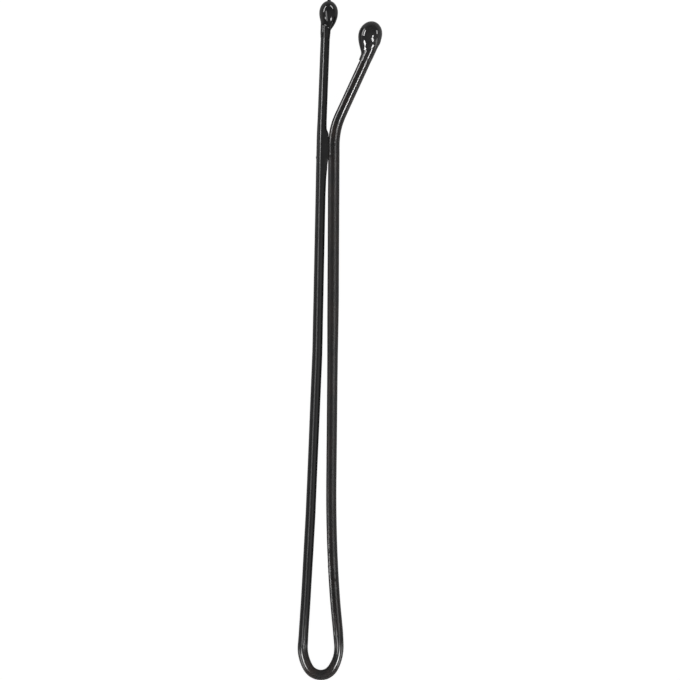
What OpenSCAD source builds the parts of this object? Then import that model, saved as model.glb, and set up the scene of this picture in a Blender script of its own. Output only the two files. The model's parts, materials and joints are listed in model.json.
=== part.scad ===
// Bobby pin: one length of spring wire bent back on itself, black enamel over it, and a resin
// drop on each tip. It lies flat: X runs across the pin towards the flare, Y from the loop to
// the tips and Z up. Places on the pin are given in its own plane, as a distance across, from
// the loop's middle and growing towards the flare, and a height above the loop's underside.

/* [Wire and enamel] */
// Diameter of the bare spring wire
core_d = 0.84; // [0.74:0.02:0.94]
// Thickness of the enamel round the loop and on most of both legs
coat_t = 0.08; // [0.05:0.01:0.12]
// Thickness of the enamel on the straight leg above the nip
upper_coat_t = 0.04; // [0.02:0.005:0.07]
// Thickness of the enamel on the flared leg where it ran thick below the nip
thick_coat_t = 0.165; // [0.1:0.005:0.2]
// Thickness of the enamel on the flare
flare_coat_t = 0.105; // [0.05:0.005:0.15]
// Height at which the flared leg's enamel starts to thicken
thick_start_height = 30.3; // [26:0.1:34]

/* [Loop] */
// Half the loop's width, between the wire's middles
loop_half_width = 1.84; // [1.7:0.02:2.1]
// Bend radius of the loop's nose
nose_r = 1.44; // [1.3:0.02:1.54]
// Angle that the nose turns to each side of its lowest point
nose_half_angle = 58; // [52:1:62]

/* [Straight leg] */
// Height of the low knee
low_knee_height = 16.8; // [14:0.1:20]
// Place of the low knee across the pin
low_knee_across = -1.09; // [-1.2:0.01:-1]
// Height of the middle knee
mid_knee_height = 33.5; // [29:0.1:38]
// Place of the middle knee across the pin
mid_knee_across = -0.38; // [-0.5:0.02:-0.24]
// Height of the high knee above the nip
high_knee_rise = 2.1; // [1.8:0.1:3]
// Place of the high knee across the pin
high_knee_across = 0.1; // [0:0.02:0.2]
// Height of the wire's end above the nip
straight_end_rise = 14.1; // [12:0.1:16]
// Place of the wire's end across the pin
straight_end_across = 0.56; // [0.4:0.02:0.7]
// Bend radius of the low and middle knees
slack_knee_r = 100; // [60:5:140]
// Bend radius of the high knee
high_knee_r = 40; // [20:1:50]

/* [Flared leg] */
// Height of the belly, where the leg turns from the loop's taper
belly_height = 13.2; // [12:0.1:16]
// Place of the belly across the pin
belly_across = 0.99; // [0.9:0.01:1.04]
// Bend radius of the belly
belly_r = 150; // [90:5:165]
// Height of the upper knee, from which the enamel has its full thickness
upper_knee_height = 39; // [36:0.5:44]
// Place of the upper knee across the pin
upper_knee_across = 1.25; // [1.16:0.01:1.28]
// Bend radius of the upper knee
upper_knee_r = 100; // [60:5:140]
// Height of the nip, where the legs close and the flare starts
nip_height = 54.9; // [50:0.1:60]
// Angle between the flare and the pin's long axis
flare_angle = 24.8; // [15:0.2:35]
// Bend radius where the flare starts
flare_bend_r = 8; // [5:0.5:10]
// Length of the flare, from its bend's corner to the wire's end
flare_length = 10.35; // [9:0.05:13]
// Distance past the bend over which the enamel thins to the flare's
flare_thinning = 1.5; // [0.5:0.1:3]

/* [Nip] */
// Clearance between the closed legs
nip_gap = 0.04; // [0.03:0.01:0.08]
// How far the enamel gathered at the nip stands out of the straight leg
nip_bead_proud = 0.15; // [0.1:0.01:0.22]
// Radius of the gathered enamel
nip_bead_r = 0.4; // [0.34:0.01:0.44]
// Half the length of the gathered enamel
nip_bead_half_length = 2; // [1.4:0.1:2.4]

/* [Straight leg's tip] */
// Radius of the resin drop at its widest
straight_drop_r = 0.96; // [0.86:0.02:1.1]
// Length of the drop beyond its widest section
straight_drop_dome = 1.23; // [1:0.01:1.5]
// Length of the drop's tail
straight_drop_tail = 2; // [1.6:0.1:2.6]
// Bluntness of the tail: a smaller number is blunter
straight_tail_power = 0.75; // [0.6:0.05:1]
// How far the drop hangs to the inside of the wire
straight_drop_offset = 0.25; // [0.1:0.01:0.36]
// How far the widest section lies short of the wire's end
straight_drop_sink = 0.46; // [0.2:0.02:0.7]
// Diameter of the nib of resin on the drop's top
nib_d = 0.34; // [0.24:0.02:0.5]
// Height of the nib above the drop
nib_rise = 0.24; // [0.1:0.02:0.5]

/* [Flared leg's tip] */
// Radius of the resin drop at its widest
flared_drop_r = 1.21; // [1.05:0.01:1.35]
// Length of the drop beyond its widest section
flared_drop_dome = 1.44; // [1.2:0.02:1.7]
// Length of the drop's tail
flared_drop_tail = 2.16; // [1.8:0.02:2.8]
// Bluntness of the tail: a smaller number is blunter
flared_tail_power = 1; // [0.8:0.05:1.2]
// How far the drop hangs to the inside of the wire
flared_drop_offset = 0.65; // [0.4:0.01:0.7]
// How far the widest section lies short of the wire's end
flared_drop_sink = 0.1; // [0:0.02:0.4]

/* [Resin collars] */
// Thickness of the resin that wets the wire below each drop
collar_t = 0.05; // [0.03:0.01:0.08]
// How far the collar reaches below the end of the drop's tail
collar_reach = 0.6; // [0.3:0.1:1.5]

/* [Hidden] */
steel = [0.62, 0.63, 0.66];
enamel_black = [0.1, 0.1, 0.105];
resin_black = [0.05, 0.05, 0.055];
round_fn = 48;
profile_steps = 12;
bead_steps = 7;
// How far a cutting wire runs past the face it opens, along a run and round an arc
cut_past = 0.1;
cut_past_angle = 2;
// Two lengths of bar are joined inside a short sleeve, a hair's breadth proud of both
sleeve_proud = 0.02;
sleeve_length = 0.2;

// Loop: a nose between two shoulders, each tangent to the next, all with this coat
coated_r = core_d / 2 + coat_t;
nose_centre = [0, coated_r + nose_r];
shoulder_r = (loop_half_width - nose_r * sin(nose_half_angle)) / (1 - sin(nose_half_angle));
shoulder_shift = (shoulder_r - nose_r) * [sin(nose_half_angle), -cos(nose_half_angle)];
right_shoulder = nose_centre - shoulder_shift;
left_shoulder = [-right_shoulder[0], right_shoulder[1]];

// Angle round a right-hand shoulder at which the wire leaves it for a point
function leave_angle(centre, radius, point) =
    let (to_point = point - centre)
    atan2(to_point[1], to_point[0]) - acos(radius / norm(to_point));

// Straight leg's corners, from the loop up
high_knee_height = nip_height + high_knee_rise;
left_leave = leave_angle(right_shoulder, shoulder_r, [-low_knee_across, low_knee_height]);
straight_start = left_shoulder + shoulder_r * [-cos(left_leave), sin(left_leave)];
function straight_across(height) =
    mid_knee_across + (high_knee_across - mid_knee_across)
        * (height - mid_knee_height) / (high_knee_height - mid_knee_height);
// The enamel thins just under the high knee, which the gathered enamel hides
thin_start_height = nip_height + high_knee_rise / 2;

// Flared leg's corners: its nip point closes on the straight leg, and its bend starts there
right_leave = leave_angle(right_shoulder, shoulder_r, [belly_across, belly_height]);
flared_start = right_shoulder + shoulder_r * [cos(right_leave), sin(right_leave)];
thick_r = core_d / 2 + thick_coat_t;
flared_nip = [
    straight_across(nip_height) + coated_r + nip_bead_proud + nip_gap + thick_r,
    nip_height
];
belly = [belly_across, belly_height];
upper_knee = [upper_knee_across, upper_knee_height];
flared_lean = atan2(flared_nip[0] - upper_knee[0], flared_nip[1] - upper_knee[1]);
flare_setback = flare_bend_r * tan((flare_angle - flared_lean) / 2);
flare_corner = flared_nip + flare_setback * [sin(flared_lean), cos(flared_lean)];
flare_way = [sin(flare_angle), cos(flare_angle)];
flare_thin = flare_corner + (flare_setback + flare_thinning) * flare_way;
function below_upper_knee(height) =
    belly[0] + (upper_knee[0] - belly[0]) * (height - belly[1]) / (upper_knee[1] - belly[1]);

// A path is a list of corners: across, height, bend radius and enamel thickness
straight_path = [
    [straight_start[0], straight_start[1], 0, coat_t],
    [low_knee_across, low_knee_height, slack_knee_r, coat_t],
    [mid_knee_across, mid_knee_height, slack_knee_r, coat_t],
    [straight_across(thin_start_height), thin_start_height, 0, coat_t],
    [high_knee_across, high_knee_height, high_knee_r, upper_coat_t],
    [straight_end_across, nip_height + straight_end_rise, 0, upper_coat_t]
];
flared_end = flare_corner + flare_length * flare_way;
flared_path = [
    [flared_start[0], flared_start[1], 0, coat_t],
    [belly[0], belly[1], belly_r, coat_t],
    [below_upper_knee(thick_start_height), thick_start_height, 0, coat_t],
    [upper_knee[0], upper_knee[1], upper_knee_r, thick_coat_t],
    [flare_corner[0], flare_corner[1], flare_bend_r, thick_coat_t],
    [flare_thin[0], flare_thin[1], 0, flare_coat_t],
    [flared_end[0], flared_end[1], 0, flare_coat_t]
];

function place(corner) = [corner[0], corner[1]];
function heading(a, b) = atan2(b[1] - a[1], b[0] - a[0]);
function way(angle) = [cos(angle), sin(angle)];
function is_inner(path, i) = i > 0 && i < len(path) - 1;
function turn(path, i) =
    heading(path[i], path[i + 1]) - heading(path[i - 1], path[i]);
function setback(path, i) =
    is_inner(path, i) ? path[i][2] * tan(abs(turn(path, i)) / 2) : 0;
function end_heading(path) = heading(path[len(path) - 2], path[len(path) - 1]);
function diameter(corner, coated) = core_d + (coated ? 2 * corner[3] : 0);

// Drops: the centre of each one's widest section, in the pin's plane. Side is 1 for a drop on
// the right of a wire that runs to its end, and -1 for one on the left.
function drop_centre(path, offset, sink, side) =
    let (up = end_heading(path), last = place(path[len(path) - 1]))
    last - sink * way(up) + side * offset * way(up - 90);
straight_drop_centre = drop_centre(straight_path, straight_drop_offset, straight_drop_sink, 1);
flared_drop_centre = drop_centre(flared_path, flared_drop_offset, flared_drop_sink, -1);

// Seat: the pin rests on the outside of the loop and on both drops, so its plane is tilted.
// The tilt is the table's normal in the pin's plane, with its distance below the loop's middle.
loop_rest = [-loop_half_width, left_shoulder[1]];
rest_1 = straight_drop_centre - loop_rest;
rest_2 = flared_drop_centre - loop_rest;
lift_1 = straight_drop_r - coated_r;
lift_2 = flared_drop_r - coated_r;
rest_spread = rest_1[0] * rest_2[1] - rest_1[1] * rest_2[0];
tilt_across = (lift_1 * rest_2[1] - lift_2 * rest_1[1]) / rest_spread;
tilt_along = (rest_1[0] * lift_2 - rest_2[0] * lift_1) / rest_spread;
seat_tilt = asin(norm([tilt_across, tilt_along]));
seat_lift = coated_r - tilt_across * loop_rest[0] - tilt_along * loop_rest[1];

// Middle of the whole pin, from the reach of its loop, its flared drop and its nib
flared_drop_reach = norm([
    flared_drop_dome * sin(flare_angle),
    flared_drop_r * cos(flare_angle)
]);
pin_left = -loop_half_width - coated_r;
pin_right = flared_drop_centre[0] + flared_drop_reach;
pin_length = straight_drop_centre[1] + straight_drop_dome + nib_rise;
pin_middle = [(pin_left + pin_right) / 2, pin_length / 2];

module seat() {
    translate([-pin_middle[0], -pin_middle[1], seat_lift])
        rotate(a = seat_tilt, v = [tilt_along, -tilt_across, 0])
            children();
}

// A round bar bent to an arc in the pin's plane
module arc_bar(centre, radius, from, to, d) {
    translate(centre)
        rotate(from)
            rotate_extrude(angle = to - from, $fn = round_fn)
                translate([radius, 0])
                    circle(d = d, $fn = round_fn);
}

// A round bar along a straight run in the pin's plane
module run_bar(from, to, d1, d2) {
    translate(from)
        rotate([0, 90, heading(from, to)])
            cylinder(h = norm(to - from), d1 = d1, d2 = d2, $fn = round_fn);
}

// The sleeve in which two lengths of bar meet
module joint_sleeve(point, angle, d) {
    translate(point)
        rotate([0, 90, angle])
            cylinder(h = sleeve_length, d = d + 2 * sleeve_proud, center = true, $fn = round_fn);
}

// The bend at one corner of a path
module corner_bar(path, i, d) {
    angle_in = heading(path[i - 1], path[i]);
    angle_out = heading(path[i], path[i + 1]);
    side = turn(path, i) > 0 ? 1 : -1;
    start = place(path[i]) - setback(path, i) * way(angle_in);
    centre = start + side * path[i][2] * way(angle_in + 90);
    first = side > 0 ? angle_in - 90 : angle_out + 90;
    last = side > 0 ? angle_out - 90 : angle_in + 90;
    arc_bar(centre, path[i][2], first, last, d);
    joint_sleeve(start, angle_in, d);
    joint_sleeve(place(path[i]) + setback(path, i) * way(angle_out), angle_out, d);
}

// A whole leg, bare or coated, which can run on past its first and last corners
module leg_bar(path, coated, before, after) {
    for (i = [0 : len(path) - 2]) {
        along = way(heading(path[i], path[i + 1]));
        from_step = i == 0 ? -before : setback(path, i);
        to_step = i == len(path) - 2 ? -after : setback(path, i + 1);
        run_bar(
            place(path[i]) + from_step * along,
            place(path[i + 1]) - to_step * along,
            diameter(path[i], coated),
            diameter(path[i + 1], coated)
        );
    }
    for (i = [1 : len(path) - 2])
        if (path[i][2] > 0)
            corner_bar(path, i, diameter(path[i], coated));
        else
            joint_sleeve(place(path[i]), heading(path[i - 1], path[i]), diameter(path[i], coated));
}

// The loop, bare or coated, which can run on past its ends
module loop_bar(d, past) {
    arc_bar(nose_centre, nose_r, 270 - nose_half_angle, 270 + nose_half_angle, d);
    arc_bar(right_shoulder, shoulder_r, nose_half_angle - 90, right_leave + past, d);
    arc_bar(left_shoulder, shoulder_r, 180 - left_leave - past, 270 - nose_half_angle, d);
    for (side = [-1, 1]) {
        leave = side * nose_half_angle;
        joint_sleeve(nose_centre + nose_r * way(leave - 90), leave, d);
    }
}

// Enamel gathered on the straight leg where the two legs close
module nip_bead() {
    steps = [for (i = [0 : bead_steps]) 180 * i / bead_steps];
    middle = [straight_across(nip_height), nip_height];
    up = heading([mid_knee_across, mid_knee_height], [high_knee_across, high_knee_height]);
    translate(middle)
        rotate([0, 0, up - 90])
            translate([coated_r + nip_bead_proud - nip_bead_r, 0, 0])
                rotate([-90, 0, 0])
                    rotate_extrude($fn = round_fn)
                        polygon([
                            for (a = steps) [nip_bead_r * sin(a), -nip_bead_half_length * cos(a)]
                        ]);
}

// Outline of a drop: half an ellipse for its dome and a tail that narrows like a cosine
function drop_outline(r, dome, tail, power) = concat(
    [for (i = [0 : profile_steps])
        let (a = 90 * i / profile_steps) [r * sin(a), dome * cos(a)]],
    [for (i = [1 : profile_steps])
        let (part = i / profile_steps) [r * pow(cos(90 * part), power), -tail * part]]
);

// A resin drop with its collar, hung beside a leg's end. Its tail runs into the coated wire.
module drop(path, r, dome, tail, power, offset, sink, side, nib) {
    last = path[len(path) - 1];
    coated_d = diameter(last, true);
    lean = atan(max(0, offset - coated_d / 2) / tail);
    collar_length = tail + collar_reach;
    translate(place(last))
        rotate([0, 0, end_heading(path) - 90])
            difference() {
                translate([0, -sink, 0]) {
                    translate([side * offset, 0, 0])
                        rotate([0, 0, -side * lean])
                            rotate([-90, 0, 0]) {
                                rotate_extrude($fn = round_fn)
                                    polygon(drop_outline(r, dome, tail, power));
                                if (nib) cylinder(h = dome + nib_rise, d = nib_d, $fn = round_fn);
                            }
                    rotate([90, 0, 0])
                        cylinder(h = collar_length, d = coated_d + 2 * collar_t, $fn = round_fn);
                }
                translate([0, last[3], 0])
                    rotate([90, 0, 0])
                        cylinder(
                            h = last[3] + sink + collar_length + cut_past,
                            d = coated_d,
                            $fn = round_fn
                        );
            }
}

module straight_leg_wire() {
    color(steel) seat() leg_bar(straight_path, false, 0, 0);
}

module straight_leg_enamel() {
    color(enamel_black)
        seat()
            difference() {
                union() {
                    leg_bar(straight_path, true, 0, upper_coat_t);
                    nip_bead();
                }
                leg_bar(straight_path, false, cut_past, 0);
            }
}

module straight_leg_tip() {
    color(resin_black)
        seat()
            drop(
                straight_path, straight_drop_r, straight_drop_dome, straight_drop_tail,
                straight_tail_power, straight_drop_offset, straight_drop_sink, 1, true
            );
}

module spring_bend_wire() {
    color(steel) seat() loop_bar(core_d, 0);
}

module spring_bend_enamel() {
    color(enamel_black)
        seat()
            difference() {
                loop_bar(2 * coated_r, 0);
                loop_bar(core_d, cut_past_angle);
            }
}

module flared_leg_wire() {
    color(steel) seat() leg_bar(flared_path, false, 0, 0);
}

module flared_leg_enamel() {
    color(enamel_black)
        seat()
            difference() {
                leg_bar(flared_path, true, 0, flare_coat_t);
                leg_bar(flared_path, false, cut_past, 0);
            }
}

module flared_leg_tip() {
    color(resin_black)
        seat()
            drop(
                flared_path, flared_drop_r, flared_drop_dome, flared_drop_tail,
                flared_tail_power, flared_drop_offset, flared_drop_sink, -1, false
            );
}

straight_leg_wire();
straight_leg_enamel();
straight_leg_tip();
spring_bend_wire();
spring_bend_enamel();
flared_leg_wire();
flared_leg_enamel();
flared_leg_tip();
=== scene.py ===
"""Looks of the bobby pin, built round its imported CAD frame.

The pin is worked out in its own plane, in millimetres: a place is a distance across, from the
loop's middle and growing towards the flare, and a height above the loop's underside. The seat
then lays it down on its loop and its two drops, as the CAD has it.
"""

import json
import math
import random
from dataclasses import dataclass

import bpy
import numpy as np
from mathutils import Matrix, Vector, noise

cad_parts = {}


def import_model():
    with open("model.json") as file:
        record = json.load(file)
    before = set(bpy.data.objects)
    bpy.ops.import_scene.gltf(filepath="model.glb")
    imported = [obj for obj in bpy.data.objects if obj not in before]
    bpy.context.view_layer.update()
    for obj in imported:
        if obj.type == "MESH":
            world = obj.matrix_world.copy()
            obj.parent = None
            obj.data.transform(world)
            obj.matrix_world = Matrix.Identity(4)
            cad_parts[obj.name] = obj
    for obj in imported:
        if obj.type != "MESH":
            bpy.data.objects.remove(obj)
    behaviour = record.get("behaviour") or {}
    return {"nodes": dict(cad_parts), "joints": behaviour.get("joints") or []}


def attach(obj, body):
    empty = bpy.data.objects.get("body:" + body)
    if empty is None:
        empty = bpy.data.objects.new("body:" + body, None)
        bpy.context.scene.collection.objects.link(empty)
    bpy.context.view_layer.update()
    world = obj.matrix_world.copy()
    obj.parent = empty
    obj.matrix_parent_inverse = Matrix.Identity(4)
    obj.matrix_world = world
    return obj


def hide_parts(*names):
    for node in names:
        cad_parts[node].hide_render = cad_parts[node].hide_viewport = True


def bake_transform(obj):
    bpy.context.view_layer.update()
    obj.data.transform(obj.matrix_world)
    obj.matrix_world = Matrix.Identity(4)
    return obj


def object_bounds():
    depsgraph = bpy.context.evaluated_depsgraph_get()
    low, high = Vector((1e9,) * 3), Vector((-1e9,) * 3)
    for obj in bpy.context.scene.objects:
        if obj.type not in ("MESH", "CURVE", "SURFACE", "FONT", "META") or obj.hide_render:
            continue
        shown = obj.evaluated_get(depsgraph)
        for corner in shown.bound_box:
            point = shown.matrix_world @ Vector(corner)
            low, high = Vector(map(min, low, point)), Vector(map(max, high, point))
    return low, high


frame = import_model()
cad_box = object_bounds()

MM = 0.001
# How far this very pin's wire strays outward, by length from the loop's lowest point
STRAY_STATIONS = [
    (-9, 0),
    (-4.9, 0.035),
    (-3, 0.06),
    (-1.5, 0.07),
    (-0.3, 0.04),
    (1.5, 0),
    (3.5, 0),
    (5.5, 0.03),
    (9, 0),
    (57, 0),
    (59, 0.03),
]

# The wire, with the sizes that the CAD has
CORE_R = 0.42
COAT_R = 0.50
THICK_COAT_R = 0.585
LOOP_HALF_WIDTH = 1.84
NOSE_R = 1.44
NOSE_HALF_ANGLE = 58
NOSE_CENTRE = Vector((0, COAT_R + NOSE_R))
LOW_KNEE = Vector((-1.09, 16.8))
MID_KNEE = Vector((-0.38, 33.5))
HIGH_KNEE = Vector((0.1, 57))
STRAIGHT_END = Vector((0.56, 69))
SLACK_KNEE_R = 100
HIGH_KNEE_R = 40
BELLY = Vector((0.99, 13.2))
BELLY_R = 150
UPPER_KNEE = Vector((1.25, 39))
UPPER_KNEE_R = 100
NIP_HEIGHT = 54.9
NIP_RIDGE = 0.15
NIP_GAP = 0.04
FLARE_ANGLE = 24.8
FLARE_BEND_R = 8
FLARE_LENGTH = 10.35
STRAIGHT_COAT_END = 0.04
FLARED_COAT_END = 0.105

# How finely the meshes are made
RING_STEP = 0.1
BORE_STEP = 8
WIRE_SIDES = 40
CORE_SIDES = 32
DROP_SIDES = 64
TAIL_STEPS = 40
DOME_STEPS = 22
DOME_TO = 87
NIB_FROM = 78
NIB_STEPS = 10
# An edge that bends more than this is sharp
SHARP_ANGLE = 60

# The enamel's rounding over a wire's end, and the resin's collar and fillets
CAP_ROUNDING = 0.03
COLLAR_T = 0.045
COLLAR_EDGE = 0.012
COLLAR_REACH = 0.6
# How deep the collar dives under the drop's skin, and from where to where round the wire's end
COLLAR_DIVE = 0.35
COLLAR_DIVE_FROM = 0.5
COLLAR_DIVE_TO = 0.3
# Shares of a drop's tail between which its rings go over from the drop's middle to the wire's
RECENTRE_FROM = 0.85
RECENTRE_TO = 0.1
NIB_FILLET = 0.12


def way(angle):
    """The direction of an angle in the pin's plane, in degrees."""
    return Vector((math.cos(math.radians(angle)), math.sin(math.radians(angle))))


def heading(start, end):
    """The angle from one place to another, in degrees."""
    across, up = end - start
    return math.degrees(math.atan2(up, across))


def smooth(value, low, high):
    """Rises from 0 at low to 1 at high, level at both ends."""
    share = min(max((value - low) / (high - low), 0), 1)
    return share * share * (3 - 2 * share)


def smooth_max(a, b, width):
    """The larger of two numbers, rounded where they are within width of each other."""
    near = max(width - abs(a - b), 0) / width
    return max(a, b) + near * near * width / 4


def along(stations, place):
    """The value at a place between stations of (place, value), with level joins."""
    for (low, first), (high, last) in zip(stations, stations[1:]):
        if place <= high:
            return first + (last - first) * smooth(place, low, high)
    return stations[-1][1]


def leave_angle(centre, radius, point):
    """The angle round an arc at which a wire leaves it for a point."""
    return heading(centre, point) - math.degrees(math.acos(radius / (point - centre).length))


class Wire:
    """A line of rings along the wire: each is a place, a heading and a length from the start."""

    def __init__(self, place, angle):
        self.rings = [(place, angle, 0.0)]

    def run(self, length):
        """Goes straight on."""
        start, angle, before = self.rings[-1]
        steps = math.ceil(length / RING_STEP)
        for i in range(1, steps + 1):
            gone = length * i / steps
            self.rings.append((start + gone * way(angle), angle, before + gone))

    def turn(self, radius, degrees):
        """Bends to the left, or to the right if degrees is negative."""
        start, angle, before = self.rings[-1]
        side = 1 if degrees > 0 else -1
        centre = start + side * radius * way(angle + 90)
        length = radius * math.radians(abs(degrees))
        steps = math.ceil(length / RING_STEP)
        for i in range(1, steps + 1):
            share = i / steps
            now = angle + degrees * share
            place = centre - side * radius * way(now + 90)
            self.rings.append((place, now, before + length * share))

    def follow(self, corners, radii):
        """Goes through corners, rounding each inner one with its radius."""
        back = 0
        for i, radius in enumerate(radii, start=1):
            bend = heading(corners[i], corners[i + 1]) - heading(corners[i - 1], corners[i])
            bend = (bend + 180) % 360 - 180
            setback = radius * math.tan(math.radians(abs(bend)) / 2)
            self.run((corners[i] - corners[i - 1]).length - setback - back)
            self.turn(radius, bend)
            back = setback
        self.run((corners[-1] - corners[-2]).length - back)


# Loop: a nose between two shoulders, each tangent to the next
nose_sin = math.sin(math.radians(NOSE_HALF_ANGLE))
nose_cos = math.cos(math.radians(NOSE_HALF_ANGLE))
shoulder_r = (LOOP_HALF_WIDTH - NOSE_R * nose_sin) / (1 - nose_sin)
right_shoulder = NOSE_CENTRE - (shoulder_r - NOSE_R) * Vector((nose_sin, -nose_cos))
left_shoulder = Vector((-right_shoulder.x, right_shoulder.y))
mirrored_low_knee = Vector((-LOW_KNEE.x, LOW_KNEE.y))
left_leave = leave_angle(right_shoulder, shoulder_r, mirrored_low_knee)
right_leave = leave_angle(right_shoulder, shoulder_r, BELLY)
straight_start = left_shoulder + shoulder_r * way(180 - left_leave)
flared_start = right_shoulder + shoulder_r * way(right_leave)

# Flared leg: it closes on the straight leg at the nip and its flare bends away from there
nip_share = (NIP_HEIGHT - MID_KNEE.y) / (HIGH_KNEE.y - MID_KNEE.y)
straight_nip = MID_KNEE + nip_share * (HIGH_KNEE - MID_KNEE)
flared_nip = straight_nip + Vector((COAT_R + NIP_RIDGE + NIP_GAP + THICK_COAT_R, 0))
flared_up = heading(UPPER_KNEE, flared_nip)
flare_up = 90 - FLARE_ANGLE
flare_corner = flared_nip + FLARE_BEND_R * math.tan(
    math.radians(flared_up - flare_up) / 2
) * way(flared_up)
flared_end = flare_corner + FLARE_LENGTH * way(flare_up)

# The whole wire in one line, from the straight leg's tip round the loop to the flare's tip
wire = Wire(STRAIGHT_END, heading(STRAIGHT_END, HIGH_KNEE))
wire.follow(
    [STRAIGHT_END, HIGH_KNEE, MID_KNEE, LOW_KNEE, straight_start],
    [HIGH_KNEE_R, SLACK_KNEE_R, SLACK_KNEE_R],
)
bend_first = len(wire.rings) - 2
wire.turn(shoulder_r, 90 - NOSE_HALF_ANGLE + left_leave)
wire.turn(NOSE_R, 2 * NOSE_HALF_ANGLE)
wire.turn(shoulder_r, 90 - NOSE_HALF_ANGLE + right_leave)
bend_last = len(wire.rings)
wire.follow(
    [flared_start, BELLY, UPPER_KNEE, flare_corner, flared_end],
    [BELLY_R, UPPER_KNEE_R, FLARE_BEND_R],
)

# Lengths along the wire are kept from the lowest point of the loop, below zero on the straight leg
loop_length = wire.rings[bend_first + 1][2] + shoulder_r * math.radians(
    90 - NOSE_HALF_ANGLE + left_leave
) + NOSE_R * math.radians(NOSE_HALF_ANGLE)
rings = []
for place, angle, from_tip in wire.rings:
    length = from_tip - loop_length
    stray = along(STRAY_STATIONS, length) * way(angle - 90)
    rings.append((place + stray, angle, length))

# Seat: the joint's axis is square to the pin's plane and goes through the nose's centre
joint = frame["joints"][0]
anchor = Vector(joint["pos_m"])
plane_up = -Vector(joint["axis"]).normalized()
seat = (
    Matrix.Translation(anchor)
    @ Vector((0, 0, 1)).rotation_difference(plane_up).to_matrix().to_4x4()
    @ Matrix.Scale(MM, 4)
    @ Matrix.Translation(-NOSE_CENTRE.to_3d())
)

# Radius of the enamel along the wire, by length from the loop's lowest point
COAT_STATIONS = [
    (-58.2, 0.475),
    (-56.2, 0.515),
    (-28.5, 0.518),
    (-24, 0.508),
    (-14, 0.51),
    (-10, 0.5),
    (-5.5, 0.5),
    (-3, 0.53),
    (1, 0.533),
    (3, 0.48),
    (5.5, 0.52),
    (30.5, 0.535),
    (40, 0.595),
    (50, 0.595),
    (53, 0.588),
    (56.6, 0.588),
    (59.6, 0.565),
]

# Enamel gathered at the nip, on the straight leg's inner side: its share there along the leg, and
# how far it stands out round the leg. Over the gap it comes closest to the other leg.
NIP_STATIONS = [(-57.15, 0), (-56.5, 1), (-54.2, 1.08), (-53.2, 0.67), (-51.6, 0.2), (-50, 0)]
NIP_PROFILE = [
    (110, 0),
    (125, 0.013),
    (135, 0.043),
    (145, 0.096),
    (155, 0.184),
    (162, 0.25),
    (170, 0.2),
    (180, NIP_RIDGE),
    (215, 0),
]

# Small knots in the enamel: length along the wire, angle round it, radius and height
KNOTS = [
    (-54.1, 2, 0.15, 0.05),
    (-64, 98, 0.15, 0.025),
    (54.3, 122, 0.16, 0.045),
    (50, 116, 0.13, 0.03),
    (17.2, 50, 0.12, 0.035),
    (5.05, 134, 0.2, 0.06),
    (4.85, 118, 0.13, 0.035),
]
# How steeply a knot falls off, and how many of its radii it reaches along the wire
KNOT_FALLOFF = 1.5
KNOT_REACH = 2
# Grit that ran in with the enamel low on the flared leg: from where to where along the wire, where
# most of it lies, and the least and most of its angles, radii and heights
GRIT_SEED = 5
GRIT_COUNT = 46
GRIT_FROM = 9.2
GRIT_TO = 17.4
GRIT_MOST = 12.6
GRIT_ANGLES = (20, 165)
GRIT_RADII = (0.09, 0.13)
GRIT_HEIGHTS = (0.012, 0.036)

# Unevenness of the enamel: how often it repeats along the wire and how high it stands
WAVES = [(6.0, 0.006), (1.7, 0.003), (0.6, 0.0012)]
# How wide the wire is in that noise, and where in it it lies
WAVES_ACROSS = 0.8
WAVES_FROM = (7.3, 1.9)


def grit():
    """Random small knots, as in KNOTS."""
    chance = random.Random(GRIT_SEED)
    found = []
    for _ in range(GRIT_COUNT):
        place = chance.triangular(GRIT_FROM, GRIT_TO, GRIT_MOST)
        angle = chance.uniform(*GRIT_ANGLES)
        radius = chance.uniform(*GRIT_RADII)
        height = chance.uniform(*GRIT_HEIGHTS)
        found.append((place, angle, radius, height))
    return found


def unevenness(length, angle):
    """How far the enamel's surface strays from round."""
    side = way(angle)
    total = 0
    for repeat, height in WAVES:
        at = Vector((side.x * WAVES_ACROSS, side.y * WAVES_ACROSS, length)) / repeat
        total += height * noise.noise(at + Vector((*WAVES_FROM, repeat)))
    return total


def between(stations, place):
    """The value at a place between stations of (place, value), on straight lines."""
    places, values = zip(*stations)
    return float(np.interp(place, places, values))


def nip_ridge(length, angle):
    """How far the enamel gathered at the nip stands out."""
    if not NIP_STATIONS[0][0] < length < NIP_STATIONS[-1][0]:
        return 0
    return along(NIP_STATIONS, length) * between(NIP_PROFILE, angle)


def knots_on(length, angle, knots, radius):
    """How far the knots near one place stand out there."""
    total = 0
    for place, round_at, size, height in knots:
        if abs(length - place) > KNOT_REACH * size:
            continue
        off = (angle - round_at + 180) % 360 - 180
        distance = math.hypot(length - place, math.radians(off) * radius)
        total += height * math.exp(-((distance / size * KNOT_FALLOFF) ** 2))
    return total


def coat_reach(length, angle, knots):
    """The enamel's radius at one place on the wire."""
    radius = along(COAT_STATIONS, length)
    return (
        radius
        + unevenness(length, angle)
        + nip_ridge(length, angle)
        + knots_on(length, angle, knots, radius)
    )


def ring_points(ring, radii):
    """One ring of points round the wire, starting on the hairpin's outer side and going up."""
    place, angle, _ = ring
    outer = way(angle - 90)
    points = []
    for j, radius in enumerate(radii):
        turned = way(360 * j / len(radii))
        flat = place + radius * turned.x * outer
        points.append((flat.x, flat.y, radius * turned.y))
    return points


def round_ring(ring, radius, sides):
    """One round ring of points."""
    return ring_points(ring, [radius] * sides)


def wire_places(ring, sides, radius):
    """Where the texture takes each point of a ring: round the wire and along it."""
    return [(*(way(360 * j / sides) * radius), ring[2]) for j in range(sides)]


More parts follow.
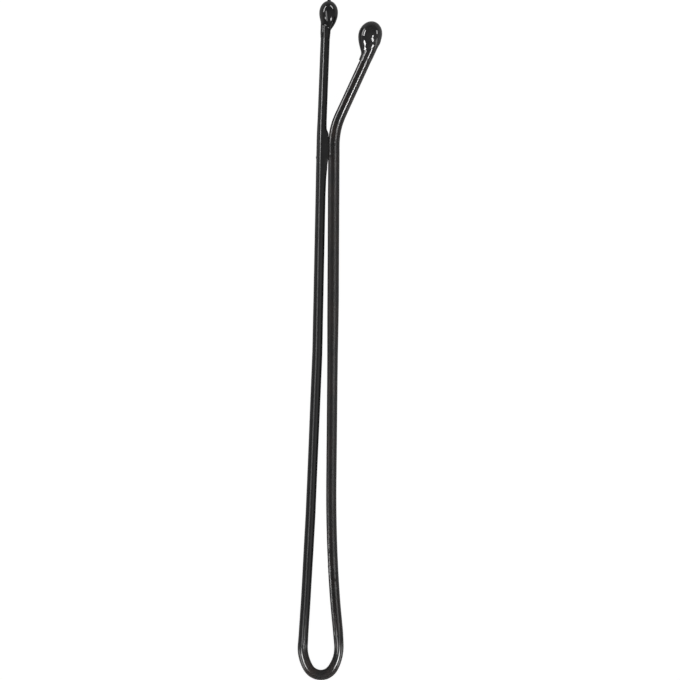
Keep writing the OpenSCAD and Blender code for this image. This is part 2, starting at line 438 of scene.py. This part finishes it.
def skin(name, loops, places, closed):
    """A mesh over rings of points. Closed joins its last ring to its first, and otherwise both
    ends get a cap."""
    sides = len(loops[0])
    points = [point for ring in loops for point in ring]
    textured = [place for ring in places for place in ring]
    faces = []
    bands = len(loops) if closed else len(loops) - 1
    for i in range(bands):
        after = (i + 1) % len(loops)
        for j in range(sides):
            k = (j + 1) % sides
            faces.append((i * sides + j, after * sides + j, after * sides + k, i * sides + k))
    if not closed:
        for ring, turned in ((0, False), (len(loops) - 1, True)):
            middle = [sum(values) / sides for values in zip(*loops[ring])]
            points.append(tuple(middle))
            textured.append(textured[ring * sides])
            for j in range(sides):
                k = (j + 1) % sides
                face = (ring * sides + j, ring * sides + k, len(points) - 1)
                faces.append(face[::-1] if turned else face)
    mesh = bpy.data.meshes.new(name)
    mesh.from_pydata(points, [], faces)
    mesh.transform(seat)
    mesh.shade_smooth()
    mesh.set_sharp_from_angle(angle=math.radians(SHARP_ANGLE))
    attribute = mesh.attributes.new("wire_place", "FLOAT_VECTOR", "POINT")
    attribute.data.foreach_set("vector", np.array(textured, np.float32).ravel())
    mesh.update()
    made = bpy.data.objects.new(name, mesh)
    bpy.context.scene.collection.objects.link(made)
    return made


def outer_skin(part, knots):
    """Rings over the outside of a length of enamel."""
    angles = [360 * j / WIRE_SIDES for j in range(WIRE_SIDES)]
    return [
        ring_points(ring, [coat_reach(ring[2], angle, knots) for angle in angles])
        for ring in part
    ]


def bore_of(part):
    """Rings down the steel core's bore, from a length's last ring to its first, and their places."""
    inner = sorted({*range(0, len(part), BORE_STEP), len(part) - 1}, reverse=True)
    loops = [round_ring(part[i], CORE_R, WIRE_SIDES) for i in inner]
    return loops, [wire_places(part[i], WIRE_SIDES, CORE_R) for i in inner]


def coat(name, part, knots):
    """A length of enamel, open at both ends: its outer skin, and a bore for the steel core."""
    places = [wire_places(ring, WIRE_SIDES, COAT_R) for ring in part]
    bore, bore_places = bore_of(part)
    return skin(name, outer_skin(part, knots) + bore, places + bore_places, True)


def capped_coat(name, part, knots, end, tip_first):
    """A leg's enamel, which closes over the steel core at its tip, the first or last ring."""
    outer = outer_skin(part, knots)
    places = [wire_places(ring, WIRE_SIDES, COAT_R) for ring in part]
    place, angle, length = part[0] if tip_first else part[-1]
    end = -end if tip_first else end
    cap = (place + end * way(angle), angle, length + end)
    cap_loop = round_ring(cap, along(COAT_STATIONS, length) - CAP_ROUNDING, WIRE_SIDES)
    cap_places = wire_places(cap, WIRE_SIDES, COAT_R)
    bore, bore_places = bore_of(part)
    if tip_first:
        loops = [cap_loop, *outer, *bore]
        places = [cap_places, *places, *bore_places]
    else:
        loops = [*bore, *outer, cap_loop]
        places = [*bore_places, *places, cap_places]
    return skin(name, loops, places, False)


def core(name, part):
    """A length of the bare steel core."""
    loops = [round_ring(ring, CORE_R, CORE_SIDES) for ring in part]
    places = [wire_places(ring, CORE_SIDES, CORE_R) for ring in part]
    return skin(name, loops, places, False)


@dataclass
class Drop:
    """A resin drop. Its widest section lies sink short of the wire's end, and its middle hangs
    offset from the wire to the hairpin's inner side, which is on the left of a wire that runs to
    its end where side is 1. It is hollow for a wire of wire_r that goes wire_past its end, and
    fillet rounds it into the collar. A nib may stand on top, nib_rise over the dome. A dent is a
    place over the drop's middle, as a distance to the inner side, a height and a rise, with its
    radius and depth."""

    side: int
    radius: float
    dome: float
    tail: float
    tail_power: float
    offset: float
    sink: float
    wire_r: float
    wire_past: float
    fillet: float
    nib_r: float = 0
    nib_rise: float = 0
    dents: tuple = ()


STRAIGHT_DROP = Drop(
    side=-1,
    radius=0.96,
    dome=1.23,
    tail=2.0,
    tail_power=0.75,
    offset=0.25,
    sink=0.46,
    wire_r=0.475,
    wire_past=STRAIGHT_COAT_END,
    fillet=0.1,
    nib_r=0.17,
    nib_rise=0.24,
)
FLARED_DROP = Drop(
    side=1,
    radius=1.21,
    dome=1.44,
    tail=2.16,
    tail_power=1,
    offset=0.63,
    sink=0.1,
    wire_r=0.565,
    wire_past=FLARED_COAT_END,
    fillet=0.3,
    dents=(
        ((-0.06, 1.36, 0.3), 0.15, 0.09),
        ((-0.3, 1.28, 0.35), 0.2, -0.03),
    ),
)


def drop_heights(shape):
    """Heights of a drop's rings over its widest section, from its collar to its top."""
    low = -shape.tail - COLLAR_REACH
    heights = [low * (1 - i / TAIL_STEPS) for i in range(TAIL_STEPS)]
    last = NIB_FROM if shape.nib_r else DOME_TO
    for i in range(DOME_STEPS + 1):
        heights.append(shape.dome * math.sin(math.radians(last * i / DOME_STEPS)))
    if shape.nib_r:
        start = heights[-1]
        top = shape.dome + shape.nib_rise
        for i in range(1, NIB_STEPS + 1):
            share = math.sin(math.radians(DOME_TO * i / NIB_STEPS))
            heights.append(start + (top - start) * share)
    return heights


def drop_radius(shape, height):
    """Radius of the drop itself at a height over its widest section."""
    if height < 0:
        share = min(-height / shape.tail, 1)
        return shape.radius * max(math.cos(math.radians(90 * share)), 0) ** shape.tail_power
    body = shape.radius * math.sqrt(max(1 - (height / shape.dome) ** 2, 0))
    if not shape.nib_r:
        return body
    shoulder = shape.dome + shape.nib_rise - shape.nib_r
    share = max(height - shoulder, 0) / shape.nib_r
    nib = shape.nib_r * math.sqrt(max(1 - share * share, 0))
    return smooth_max(body, nib, NIB_FILLET)


def reach_of_circle(angle, middle, radius):
    """How far a ray from the origin gets before it leaves a circle, or 0 if it misses it."""
    near = way(angle).x * middle
    inside = radius * radius - middle * middle + near * near
    if inside < 0 or radius <= 0:
        return 0
    return max(near + math.sqrt(inside), 0)


def drop_ring(shape, end, height):
    """One ring of a drop and its collar round the wire's end."""
    slope = max(0, shape.offset - shape.wire_r) / shape.tail
    middle = shape.offset + slope * height
    radius = drop_radius(shape, height)
    centre = middle * smooth(height, -RECENTRE_FROM * shape.tail, -RECENTRE_TO * shape.tail)
    feather = smooth(height, -shape.tail - COLLAR_REACH, -shape.tail)
    collar = shape.wire_r + COLLAR_EDGE + (COLLAR_T - COLLAR_EDGE) * feather
    dived = shape.sink + COLLAR_DIVE_TO
    collar -= COLLAR_DIVE * smooth(height, shape.sink - COLLAR_DIVE_FROM, dived)
    collar = collar if height < dived else 0
    points = []
    for j in range(DROP_SIDES):
        turned = 360 * j / DROP_SIDES
        wet = reach_of_circle(turned, -centre, collar)
        hung = reach_of_circle(turned, middle - centre, radius)
        reach = smooth_max(wet, hung, shape.fillet) if wet and hung else max(wet, hung)
        side = way(turned) * reach
        points.append((centre + side.x, height, side.y))
    points = [dented(point, shape, middle) for point in points]
    return lay_on_wire(points, shape, end)


def dented(point, shape, middle):
    """A point of a drop, moved by the dents near it."""
    here = Vector(point)
    for place, size, depth in shape.dents:
        away = here - Vector((middle + place[0], place[1], place[2]))
        outward = Vector((here.x - middle, here.y, here.z)).normalized()
        here = here - depth * math.exp(-((away.length / size) ** 2)) * outward
    return tuple(here)


def lay_on_wire(points, shape, end):
    """Takes points beside the wire's end, as a distance to the inner side, a height over the
    widest section and a rise, to the pin's plane, and to the texture's places."""
    place, angle, length = end
    inner = shape.side * way(angle + 90)
    laid = []
    for across, height, rise in points:
        flat = place + (height - shape.sink) * way(angle) + across * inner
        laid.append((flat.x, flat.y, -shape.side * rise))
    return laid, [(across, rise, length + height) for across, height, rise in points]


def drop(name, shape, end):
    """A resin drop with its collar, and the bore that the coated wire fills."""
    heights = drop_heights(shape)
    round_way = [way(360 * j / DROP_SIDES) * shape.wire_r for j in range(DROP_SIDES)]
    top = shape.sink + shape.wire_past
    bore = [
        lay_on_wire([(side.x, height, side.y) for side in round_way], shape, end)
        for height in (top, heights[0] / 2, heights[0])
    ]
    outer = [drop_ring(shape, end, height) for height in heights]
    loops, places = zip(*bore, *outer)
    return skin(name, loops, places, False)


# Materials

# Roughness along the wire, by length from the loop's lowest point
STRAIGHT_ROUGH = [
    (-66, 0.14),
    (-58.5, 0.18),
    (-56.8, 0.12),
    (-54.3, 0.12),
    (-53, 0.24),
    (-8, 0.27),
    (-4.5, 0.18),
]
FLARED_ROUGH = [
    (3.9, 0.2),
    (6, 0.24),
    (13, 0.3),
    (16.5, 0.42),
    (50, 0.42),
    (54, 0.3),
    (57.5, 0.12),
]
BEND_ROUGH = [(-3.9, 0.18), (-2.5, 0.13), (2.5, 0.13), (3.9, 0.2)]
# Tints of the enamel: plain grey on the straight leg, brownish on the loop and the flared leg,
# and from where to where round the bend it changes
BROWNING = (-3.9, -1.2)
BROWN = (0.0235, 0.0182, 0.0165, 1)
GREY = (0.0175, 0.0175, 0.018, 1)
BLACK = (0.013, 0.013, 0.0135, 1)
DUST = (0.09, 0.09, 0.09, 1)
DUST_SHARE = 0.2
# How finely each thing repeats in the enamel, per millimetre, and how the runs are drawn out
PATCHES = 0.55
RUNS = 1.6
RUNS_STRETCH = (2.2, 2.2, 0.35)
GRAINS = 3.2
GRAIN_EDGE = 0.16
RIPPLES = 9
# Heights in the enamel, and how much its runs change its roughness
RUN_HEIGHT = 0.008
GRAIN_HEIGHT = 0.008
RIPPLE_HEIGHT = 0.0025
RUN_ROUGHNESS = (-0.03, 0.04)
ENAMEL_IOR = 1.46
# The resin's sags and specks in the same way, with its tones and roughness between two ends
SAGS = 1.1
SPECKS = 12
SAG_HEIGHT = 0.025
SPECK_HEIGHT = 0.0015
RESIN_DARK = (0.007, 0.007, 0.0075, 1)
RESIN_PALE = (0.012, 0.0115, 0.0115, 1)
RESIN_ROUGHNESS = (0.04, 0.1)
RESIN_IOR = 1.5
# The steel's drawn lines: how finely they repeat across the wire and along it, and their ends
LINES_ACROSS = 30
LINES_ALONG = 0.6
STEEL_DARK = (0.50, 0.51, 0.53, 1)
STEEL_PALE = (0.64, 0.65, 0.67, 1)
STEEL_ROUGHNESS = (0.24, 0.38)


class Nodes:
    """Shorthand for building one node tree."""

    def __init__(self, tree):
        self.tree = tree

    def add(self, kind, **inputs):
        """A new node with inputs given by name, as values or as sockets to link from."""
        made = self.tree.nodes.new(kind)
        for name, value in inputs.items():
            self.put(made.inputs[name.replace("_", " ")], value)
        return made

    def put(self, socket, value):
        """Sets a socket to a value, or links it to another node's output."""
        if isinstance(value, bpy.types.NodeSocket):
            self.tree.links.new(value, socket)
        else:
            socket.default_value = value

    def place(self, scale):
        """The place on the wire in millimetres, scaled."""
        source = self.tree.nodes.new("ShaderNodeAttribute")
        source.attribute_name = "wire_place"
        mapped = self.add("ShaderNodeMapping", Vector=source.outputs["Vector"], Scale=scale)
        return mapped.outputs["Vector"]

    def noise(self, vector, scale, detail=2.0, roughness=0.5):
        """Noise from 0 to 1."""
        made = self.add(
            "ShaderNodeTexNoise", Vector=vector, Scale=scale, Detail=detail, Roughness=roughness
        )
        return made.outputs["Fac"]

    def spread(self, value, low, high, first, last, kind="LINEAR"):
        """Maps a value from low to high onto first to last, and no further."""
        made = self.tree.nodes.new("ShaderNodeMapRange")
        made.interpolation_type = kind
        self.put(made.inputs["Value"], value)
        for name, number in (
            ("From Min", low), ("From Max", high), ("To Min", first), ("To Max", last)
        ):
            self.put(made.inputs[name], number)
        return made.outputs["Result"]

    def blend(self, factor, first, last):
        """Mixes two colours."""
        made = self.tree.nodes.new("ShaderNodeMix")
        made.data_type = "RGBA"
        self.put(made.inputs["Factor"], factor)
        self.put(made.inputs["A"], first)
        self.put(made.inputs["B"], last)
        return [output for output in made.outputs if output.type == "RGBA"][0]

    def math(self, operation, first, second):
        """One sum of two numbers."""
        made = self.tree.nodes.new("ShaderNodeMath")
        made.operation = operation
        self.put(made.inputs[0], first)
        self.put(made.inputs[1], second)
        return made.outputs["Value"]

    def bump(self, height, strength, distance, normal=None):
        """A bump of a height from 0 to 1 times distance."""
        made = self.add("ShaderNodeBump", Strength=strength, Distance=distance, Height=height)
        if normal is not None:
            self.put(made.inputs["Normal"], normal)
        return made.outputs["Normal"]


def new_material(name):
    """A material, with its nodes and its shader."""
    made = bpy.data.materials.new(name)
    made.use_nodes = True
    return made, Nodes(made.node_tree), made.node_tree.nodes["Principled BSDF"]


def enamel(name, rough_stations):
    """Black enamel: a little uneven, with grains in it and faint runs along the wire. Its tint
    comes from the place on the wire, so that it carries on over the joints."""
    material, nodes, shader = new_material(name)
    place = nodes.place((1, 1, 1))
    runs = nodes.noise(nodes.place(RUNS_STRETCH), RUNS, 3)
    patches = nodes.noise(place, PATCHES, 2)
    grains = nodes.add("ShaderNodeTexVoronoi", Vector=place, Scale=GRAINS)
    grain = nodes.spread(grains.outputs["Distance"], 0.0, GRAIN_EDGE, 1, 0)
    ripples = nodes.noise(place, RIPPLES, 4, 0.6)
    tinted = nodes.blend(nodes.spread(wire_length(nodes), *BROWNING, 0, 1), GREY, BROWN)
    tint = nodes.blend(nodes.spread(patches, 0.35, 0.7, 0, 1), BLACK, tinted)
    dusty = nodes.blend(nodes.math("MULTIPLY", grain, DUST_SHARE), tint, DUST)
    nodes.put(shader.inputs["Base Color"], dusty)
    level = rough_level(nodes, rough_stations)
    swing = nodes.spread(runs, 0.3, 0.7, *RUN_ROUGHNESS)
    nodes.put(shader.inputs["Roughness"], nodes.math("ADD", level, swing))
    soft = nodes.bump(runs, 0.4, RUN_HEIGHT * MM)
    grainy = nodes.bump(grain, 0.5, GRAIN_HEIGHT * MM, soft)
    rippled = nodes.bump(ripples, 0.4, RIPPLE_HEIGHT * MM, grainy)
    nodes.put(shader.inputs["Normal"], rippled)
    shader.inputs["IOR"].default_value = ENAMEL_IOR
    return material


def wire_length(nodes):
    """The length along the wire from the loop's lowest point."""
    parts = nodes.add("ShaderNodeSeparateXYZ", Vector=nodes.place((1, 1, 1)))
    return parts.outputs["Z"]


def rough_level(nodes, stations):
    """Roughness along the wire, from stations of (length, roughness)."""
    length = wire_length(nodes)
    level = stations[0][1]
    for (low, first), (high, last) in zip(stations, stations[1:]):
        step = nodes.spread(length, low, high, 0, last - first)
        level = nodes.math("ADD", level, step)
    return level


def resin(name):
    """Black resin: deep gloss, with faint sags left by its runs."""
    material, nodes, shader = new_material(name)
    place = nodes.place((1, 1, 1))
    sags = nodes.noise(place, SAGS, 2)
    specks = nodes.noise(place, SPECKS, 2)
    tone = nodes.blend(nodes.spread(sags, 0.35, 0.65, 0, 1), RESIN_DARK, RESIN_PALE)
    nodes.put(shader.inputs["Base Color"], tone)
    nodes.put(shader.inputs["Roughness"], nodes.spread(sags, 0.3, 0.7, *RESIN_ROUGHNESS))
    slack = nodes.bump(sags, 0.2, SAG_HEIGHT * MM)
    nodes.put(shader.inputs["Normal"], nodes.bump(specks, 0.3, SPECK_HEIGHT * MM, slack))
    shader.inputs["IOR"].default_value = RESIN_IOR
    return material


def steel(name, textured):
    """Drawn spring steel: fine lines along the wire. Textured says that the piece has places on
    the wire, as the scene's own have and the CAD's nodes, which lie along Y, haven't."""
    material, nodes, shader = new_material(name)
    if textured:
        stretched = nodes.place((LINES_ACROSS, LINES_ACROSS, LINES_ALONG))
    else:
        source = nodes.add("ShaderNodeTexCoord")
        size = (LINES_ACROSS / MM, LINES_ALONG / MM, LINES_ACROSS / MM)
        mapped = nodes.add("ShaderNodeMapping", Vector=source.outputs["Object"], Scale=size)
        stretched = mapped.outputs["Vector"]
    lines = nodes.noise(stretched, 1, 3)
    tone = nodes.blend(lines, STEEL_DARK, STEEL_PALE)
    nodes.put(shader.inputs["Base Color"], tone)
    nodes.put(shader.inputs["Roughness"], nodes.spread(lines, 0.3, 0.7, *STEEL_ROUGHNESS))
    shader.inputs["Metallic"].default_value = 1
    return material


def dress(piece, material):
    """Gives a piece one material."""
    piece.data.materials.clear()
    piece.data.materials.append(material)


# Pieces

straight_rings = rings[: bend_first + 1]
bend_rings = rings[bend_first : bend_last + 1]
flared_rings = rings[bend_last:]
straight_tip_end = (STRAIGHT_END, heading(HIGH_KNEE, STRAIGHT_END), rings[0][2])
flared_tip_end = (flared_end, flare_up, rings[-1][2])
knots = KNOTS + grit()

straight_coat = capped_coat("straight_leg_coat", straight_rings, knots, STRAIGHT_COAT_END, True)
flared_coat = capped_coat("flared_leg_coat", flared_rings, knots, FLARED_COAT_END, False)
bend_coat = coat("spring_bend_coat", bend_rings, knots)
bend_core = core("spring_bend_core", bend_rings)
straight_tip = drop("straight_leg_drop", STRAIGHT_DROP, straight_tip_end)
flared_tip = drop("flared_leg_drop", FLARED_DROP, flared_tip_end)

dress(straight_coat, enamel("enamel_straight", STRAIGHT_ROUGH))
dress(flared_coat, enamel("enamel_flared", FLARED_ROUGH))
dress(bend_coat, enamel("enamel_bend", BEND_ROUGH))
dress(bend_core, steel("steel_bend", True))
dress(straight_tip, resin("resin_straight"))
dress(flared_tip, resin("resin_flared"))
bare_steel = steel("steel_legs", False)
for node in ("straight_leg_wire", "flared_leg_wire"):
    dress(frame["nodes"][node], bare_steel)

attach(straight_coat, "straight_leg")
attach(straight_tip, "straight_leg")
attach(flared_coat, "flared_leg")
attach(flared_tip, "flared_leg")
for piece in (bend_coat, bend_core):
    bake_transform(piece)

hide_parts("straight_leg_enamel")
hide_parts("straight_leg_tip")
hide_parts("flared_leg_enamel")
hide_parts("flared_leg_tip")
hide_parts("spring_bend_enamel")
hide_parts("spring_bend_wire")


# Studio

PHOTO_CENTRE = Vector((-0.033, -0.08, 0.9))
PHOTO_WIDTH = 69.86
LENS = 135
SENSOR = 36
NEAREST_SEEN = 0.01
FARTHEST_SEEN = 10
FLOOR_SIZE = 4
# How far away the far lamps stand, and the spread of a lamp that shines every way
FAR = 1200
EVERY_WAY = 180


def lit_by(lamp, pieces):
    """Keeps a lamp's light to some pieces, which alone can shade it."""
    lit = bpy.data.collections.new(lamp.name + "_lights")
    for piece in pieces:
        lit.objects.link(piece)
    lamp.light_linking.receiver_collection = lit
    lamp.light_linking.blocker_collection = lit


def panel(name, middle, across, up, size, radiance, pieces, spread=EVERY_WAY):
    """A rectangular lamp at a place in millimetres. Its sides lie along across and up, and it
    shines against their cross product, no wider than spread in degrees."""
    width, height = size[0] * MM, size[1] * MM
    data = bpy.data.lights.new(name, "AREA")
    data.shape = "RECTANGLE"
    data.size = width
    data.size_y = height
    data.energy = radiance * math.pi * width * height
    if spread < EVERY_WAY:
        half = math.radians(spread / 2)
        data.spread = 2 * half
        data.energy *= 1 - half / math.tan(half)
    made = bpy.data.objects.new(name, data)
    made.location = middle * MM
    made.rotation_mode = "QUATERNION"
    facing = Matrix((across, up, across.cross(up))).transposed()
    made.rotation_quaternion = facing.to_quaternion()
    made.visible_camera = False
    bpy.context.scene.collection.objects.link(made)
    lit_by(made, pieces)


def far_lamp(name, azimuth, elevation, width, height, radiance, pieces):
    """A lamp far from the pin, placed and sized by degrees as seen from it. Azimuth runs from X
    towards Y."""
    flat = way(azimuth)
    rise = way(elevation)
    back = Vector((flat.x * rise.x, flat.y * rise.x, rise.y))
    across = Vector((-flat.y, flat.x, 0))
    size = [2 * FAR * math.tan(math.radians(angle / 2)) for angle in (width, height)]
    panel(name, back * FAR, across, back.cross(across), size, radiance, pieces)


def near_lamp(name, start, end, width, target, radiance, pieces, spread=EVERY_WAY):
    """A strip lamp close to the pin, between two places and facing a third, in millimetres."""
    start, end, target = Vector(start), Vector(end), Vector(target)
    middle = (start + end) / 2
    up = (end - start).normalized()
    back = middle - target
    back = (back - up * back.dot(up)).normalized()
    size = (width, (end - start).length)
    panel(name, middle, up.cross(back), up, size, radiance, pieces, spread)


# How wide some near lamps shine, so that they stay on their part of the pin
LOOP_SPREAD = 26
FLARE_SPREAD = 16
LEG_SPREAD = 50
FLARE_MIDDLE = (1, 25, 1)
LEFT_OF_FLARE = ((-70, 36, 12), (-52, 80, 12))

drops = (straight_tip, flared_tip)
coats = (straight_coat, bend_coat, flared_coat)

# Far lamps, with azimuth, elevation, width and height, and radiance. Those of the drops first
far_lamp("lamp_straight_drop_left", 146, 28, 44, 8, 15, (straight_tip,))
far_lamp("lamp_straight_drop_left_low", -152, 43, 10, 8, 14, (straight_tip,))
far_lamp("lamp_straight_drop_right", 52, 28, 32, 8, 14, (straight_tip,))
far_lamp("lamp_straight_drop_right_low", -38, 43, 12, 14, 18, (straight_tip,))
far_lamp("lamp_flared_drop_left", 160, 29, 34, 8, 22, (flared_tip,))
far_lamp("lamp_flared_drop_left_low", -137, 27, 28, 10, 30, (flared_tip,))
far_lamp("lamp_flared_drop_right", 15, 22, 22, 12, 8, (flared_tip,))
far_lamp("lamp_flared_drop_right_low", -52, 42, 12, 34, 22, (flared_tip,))
far_lamp("lamp_rims_right", -40, 3, 40, 12, 2.5, (flared_coat, *drops))
far_lamp("lamp_loop_rim_left", -158, 12, 24, 32, 4, (bend_coat,))
far_lamp("lamp_loop_rim_right", -21, 12, 24, 28, 4, (bend_coat,))

# Near lamps: the strip's ends and width, the place that it faces, and its radiance
near_lamp(
    "lamp_loop_left",
    (-12.2, -40.6, 19.6),
    (-14.4, -35.2, 19.6),
    8,
    (-3.6, -33.4, 0.6),
    36,
    coats,
    LOOP_SPREAD,
)
near_lamp(
    "lamp_loop_right",
    (5.8, -41.4, 19.6),
    (8.2, -36, 19.6),
    9,
    (-0.6, -33.5, 0.6),
    56,
    coats,
    LOOP_SPREAD,
)
near_lamp(
    "lamp_straight",
    (-60, 60, 100),
    (-40, -46, 100),
    30,
    (-1, 0, 1),
    4.2,
    (straight_coat, straight_tip),
)
near_lamp(
    "lamp_straight_top",
    (-66, 66, 100),
    (-50, 27, 100),
    30,
    (-1, 36, 1),
    8,
    (straight_coat,),
)
near_lamp(
    "lamp_straight_rim",
    (-80, 20, 12),
    (-80, 60, 12),
    24,
    (-1, 36, 1),
    1,
    (straight_coat,),
)
near_lamp(
    "lamp_flare",
    (40, -1, 80),
    (50, 21, 80),
    16,
    FLARE_MIDDLE,
    56,
    (flared_coat, flared_tip),
    FLARE_SPREAD,
)
near_lamp("lamp_flare_left", *LEFT_OF_FLARE, 20, FLARE_MIDDLE, 13, (flared_coat,))
near_lamp("lamp_flared_drop_rim", *LEFT_OF_FLARE, 20, FLARE_MIDDLE, 5, (flared_tip,))
near_lamp("lamp_nip", (-70, 27, 9), (-70, 33, 9), 16, (0, 20, 1), 13, (flared_coat,))
near_lamp(
    "lamp_straight_right",
    (71, -60, 71),
    (71, 12, 71),
    65,
    (0, -20, 1),
    0.5,
    (straight_coat,),
)
near_lamp(
    "lamp_flared_right",
    (54, -34, 84),
    (54, 24, 84),
    60,
    (0, -5, 1),
    6,
    (flared_coat,),
    LEG_SPREAD,
)
near_lamp(
    "lamp_flared_low",
    (-70, -41, 12),
    (-70, -24, 12),
    18,
    (0, -22, 1),
    16,
    (flared_coat,),
)


FLOOR_ALBEDO = 0.3
FLOOR_GLOW = 0.96
# How much of the floor's white a gloss shows, and how near the pin shades it
GLOSS_SHARE = 0.4
SHADE_REACH = 3
SHADE_POWER = 2
SHADE_SAMPLES = 4
# The room's light above and at the horizon, and the heights between which it changes
CEILING = 0.18
HORIZON = 0.4
WALL_FADE = (0.05, 0.3)
# A soft glow in the room, on the flare's side of the loop: where it is, how bright, and the
# cosine at which it ends
GLOW_WAY = (0.6, -0.35, 0.72)
GLOW = 0.15
GLOW_EDGE = 0.6


def share_seen(nodes, gloss):
    """1 for rays from the camera or through glass, gloss for rays off a gloss, otherwise 0."""
    path = nodes.add("ShaderNodeLightPath")
    clear = nodes.math("MAXIMUM", path.outputs["Is Camera Ray"], path.outputs["Is Transmission Ray"])
    glossy = nodes.math("MULTIPLY", path.outputs["Is Glossy Ray"], gloss)
    return nodes.math("MAXIMUM", clear, glossy)


def floor():
    """A pale table that shows white and keeps a faint shadow."""
    mesh = bpy.data.meshes.new("floor")
    half = FLOOR_SIZE / 2
    level = cad_box[0].z
    corners = [(x * half, y * half, level) for x, y in ((-1, -1), (1, -1), (1, 1), (-1, 1))]
    mesh.from_pydata(corners, [], [(0, 1, 2, 3)])
    made = bpy.data.objects.new("floor", mesh)
    bpy.context.scene.collection.objects.link(made)
    material, nodes, shader = new_material("floor_white")
    shader.inputs["Base Color"].default_value = (FLOOR_ALBEDO,) * 3 + (1,)
    shader.inputs["Roughness"].default_value = 1
    shader.inputs["Specular IOR Level"].default_value = 0
    shader.inputs["Emission Color"].default_value = (1, 1, 1, 1)
    shade = nodes.add("ShaderNodeAmbientOcclusion", Distance=SHADE_REACH * MM)
    shade.samples = SHADE_SAMPLES
    open_share = nodes.math("POWER", shade.outputs["AO"], SHADE_POWER)
    gloss = nodes.math("MULTIPLY", open_share, GLOSS_SHARE)
    glow = nodes.math("MULTIPLY", share_seen(nodes, gloss), FLOOR_GLOW)
    nodes.put(shader.inputs["Emission Strength"], glow)
    made.data.materials.append(material)


def world():
    """A dim room with a paler wall and a soft glow, which the camera sees as plain white."""
    made = bpy.data.worlds.new("room")
    bpy.context.scene.world = made
    made.use_nodes = True
    nodes = Nodes(made.node_tree)
    place = nodes.add("ShaderNodeTexCoord")
    parts = nodes.add("ShaderNodeSeparateXYZ", Vector=place.outputs["Generated"])
    wall = nodes.spread(parts.outputs["Z"], *WALL_FADE, HORIZON, CEILING)
    nearness = nodes.add("ShaderNodeVectorMath")
    nearness.operation = "DOT_PRODUCT"
    nodes.put(nearness.inputs[0], place.outputs["Generated"])
    nodes.put(nearness.inputs[1], Vector(GLOW_WAY).normalized())
    glow = nodes.spread(nearness.outputs["Value"], GLOW_EDGE, 1, 0, GLOW, "SMOOTHSTEP")
    room = nodes.math("ADD", wall, glow)
    seen = nodes.math("MAXIMUM", room, share_seen(nodes, 0))
    background = made.node_tree.nodes["Background"]
    background.inputs["Color"].default_value = (1, 1, 1, 1)
    nodes.put(background.inputs["Strength"], seen)


def camera():
    """Looks straight down at the photograph's middle."""
    data = bpy.data.cameras.new("camera")
    data.lens = LENS
    data.sensor_width = SENSOR
    made = bpy.data.objects.new("camera", data)
    distance = PHOTO_WIDTH / 2 / math.tan(math.atan(SENSOR / 2 / LENS))
    made.location = (PHOTO_CENTRE + Vector((0, 0, distance))) * MM
    data.clip_start = NEAREST_SEEN
    data.clip_end = FARTHEST_SEEN
    bpy.context.scene.collection.objects.link(made)
    bpy.context.scene.camera = made


floor()
world()
camera()
bpy.context.scene.view_settings.view_transform = "Standard"
